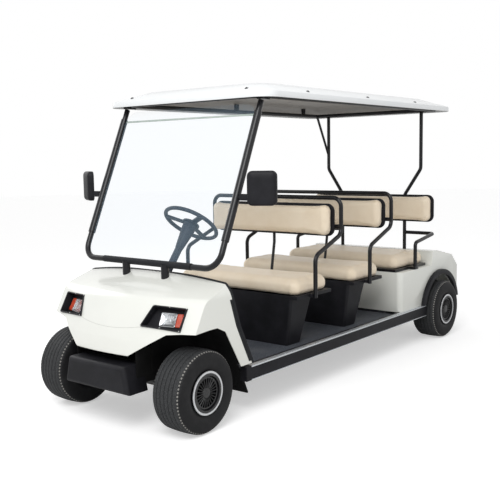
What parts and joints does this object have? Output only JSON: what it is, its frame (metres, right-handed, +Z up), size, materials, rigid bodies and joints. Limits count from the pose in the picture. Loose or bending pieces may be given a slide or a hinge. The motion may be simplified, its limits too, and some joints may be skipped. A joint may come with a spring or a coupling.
{
  "type": "electric sightseeing car",
  "caption": "Open electric people carrier with rows of bench seats, a moulded nose, a windscreen, a flat canopy on tube posts and small fat tyres.",
  "frame": {"origin": "centre of the car's box on the ground under it", "axes": "+Z up, -Y forward, +X to the car's left"},
  "size_m": [1.618, 3.572, 1.8959],
  "materials": {
    "white_body": "glossy moulded shell, off-white",
    "white_roof": "satin moulded canopy, white",
    "black_plastic": "fine-grained black moulding",
    "black_trim": "black edge trim",
    "black_liner": "rough black liner",
    "black_steel": "gloss black powder coat",
    "cast_steel": "dark cast metal",
    "spring_steel": "dark spring steel",
    "motor_case": "painted casting",
    "battery_case": "plain battery case",
    "floor_mat": "dark grey ribbed mat",
    "seat_vinyl": "beige vinyl",
    "tyre_rubber": "black tyre",
    "bright_rim": "silver paint",
    "wheel_cover": "black finned cover",
    "wheel_grip": "dark blue-grey moulding",
    "clear_pane": "clear pane",
    "clear_lens": "clear fluted lens",
    "amber_lens": "amber-red lens",
    "red_lens": "red lens"
  },
  "bodies": {
    "chassis": {"backrest_shells": "black_plastic", "backrests": "seat_vinyl", "battery_block": "battery_case", "chassis_frame": "black_steel", "cowl_trim": "black_trim", "dashboard": "black_plastic", "drive_motor": "motor_case", "floor_pan": "floor_mat", "front_axle": "black_steel", "front_bumper": "black_plastic", "front_cowl": "white_body", "front_liners": "black_liner", "headlamp_lenses": "clear_lens", "indicator_lenses": "amber_lens", "lamp_bezels": "black_plastic", "leaf_springs": "spring_steel", "mirrors": "black_plastic", "pedals": "black_steel", "rear_axle": "cast_steel", "rear_body": "white_body", "rear_bumper": "black_plastic", "rear_flares": "black_liner", "rear_posts": "black_steel", "roof_canopy": "white_roof", "roof_frame": "black_steel", "seat_arms_3": "black_steel", "seat_boxes": "black_plastic", "seat_frame_3": "black_steel", "seat_rail_1": "black_steel", "seat_rail_2": "black_steel", "side_sills": "black_plastic", "steering_column": "black_steel", "tail_lamps": "red_lens", "windscreen_frame": "black_steel", "windscreen_panel": "clear_pane"},
    "knuckle_left": {"knuckle_left": "cast_steel"},
    "knuckle_right": {"knuckle_right": "cast_steel"},
    "tie_rod": {"tie_rod": "cast_steel"},
    "wheel_front_left": {"tyre_front_left": "tyre_rubber", "rim_front_left": "bright_rim", "cover_front_left": "wheel_cover"},
    "wheel_front_right": {"tyre_front_right": "tyre_rubber", "rim_front_right": "bright_rim", "cover_front_right": "wheel_cover"},
    "wheel_rear_left": {"tyre_rear_left": "tyre_rubber", "rim_rear_left": "bright_rim", "cover_rear_left": "wheel_cover"},
    "wheel_rear_right": {"tyre_rear_right": "tyre_rubber", "rim_rear_right": "bright_rim", "cover_rear_right": "wheel_cover"},
    "steering_wheel": {"steering_wheel": "wheel_grip"},
    "seat_lid_1": {"seat_cushion_1": "seat_vinyl"},
    "seat_lid_2": {"seat_cushion_2": "seat_vinyl"},
    "seat_lid_3": {"seat_cushion_3": "seat_vinyl"}
  },
  "joints": [
    {"name": "steer_left", "type": "hinge", "parent": "chassis", "child": "knuckle_left", "pos_m": [0.345, -1.505, 0.229], "axis": [0, 0, 1], "range_deg": [-30, 30]},
    {"name": "steer_right", "type": "hinge", "parent": "chassis", "child": "knuckle_right", "pos_m": [-0.345, -1.505, 0.229], "axis": [0, 0, 1], "range_deg": [-30, 30]},
    {"name": "tie_rod_left_end", "type": "hinge", "parent": "knuckle_left", "child": "tie_rod", "pos_m": [0.345, -1.395, 0.211], "axis": [0, 0, 1], "range_deg": [-30, 30]},
    {"name": "steering_wheel_turn", "type": "hinge", "parent": "chassis", "child": "steering_wheel", "pos_m": [-0.215, -0.753, 1.045], "axis": [0, 0.6157, 0.788], "range_deg": [-360, 360]},
    {"name": "wheel_front_left_spin", "type": "hinge", "parent": "knuckle_left", "child": "wheel_front_left", "pos_m": [0.477, -1.505, 0.229], "axis": [1, 0, 0], "continuous": true},
    {"name": "wheel_front_right_spin", "type": "hinge", "parent": "knuckle_right", "child": "wheel_front_right", "pos_m": [-0.477, -1.505, 0.229], "axis": [1, 0, 0], "continuous": true},
    {"name": "wheel_rear_left_spin", "type": "hinge", "parent": "chassis", "child": "wheel_rear_left", "pos_m": [0.53, 1.335, 0.229], "axis": [1, 0, 0], "continuous": true},
    {"name": "wheel_rear_right_spin", "type": "hinge", "parent": "chassis", "child": "wheel_rear_right", "pos_m": [-0.53, 1.335, 0.229], "axis": [1, 0, 0], "continuous": true},
    {"name": "seat_lid_1_hinge", "type": "hinge", "parent": "chassis", "child": "seat_lid_1", "pos_m": [0, -0.596, 0.603], "axis": [1, 0, 0], "range_deg": [0, 65]},
    {"name": "seat_lid_2_hinge", "type": "hinge", "parent": "chassis", "child": "seat_lid_2", "pos_m": [0, 0.084, 0.603], "axis": [1, 0, 0], "range_deg": [0, 65]},
    {"name": "seat_lid_3_hinge", "type": "hinge", "parent": "chassis", "child": "seat_lid_3", "pos_m": [0, 0.689, 0.616], "axis": [1, 0, 0], "range_deg": [0, 65]}
  ],
  "couplings": [
    {"joint": "steer_right", "follows": "steer_left", "ratio": 1},
    {"joint": "tie_rod_left_end", "follows": "steer_left", "ratio": -1},
    {"joint": "steering_wheel_turn", "follows": "steer_left", "ratio": 12}
  ]
}
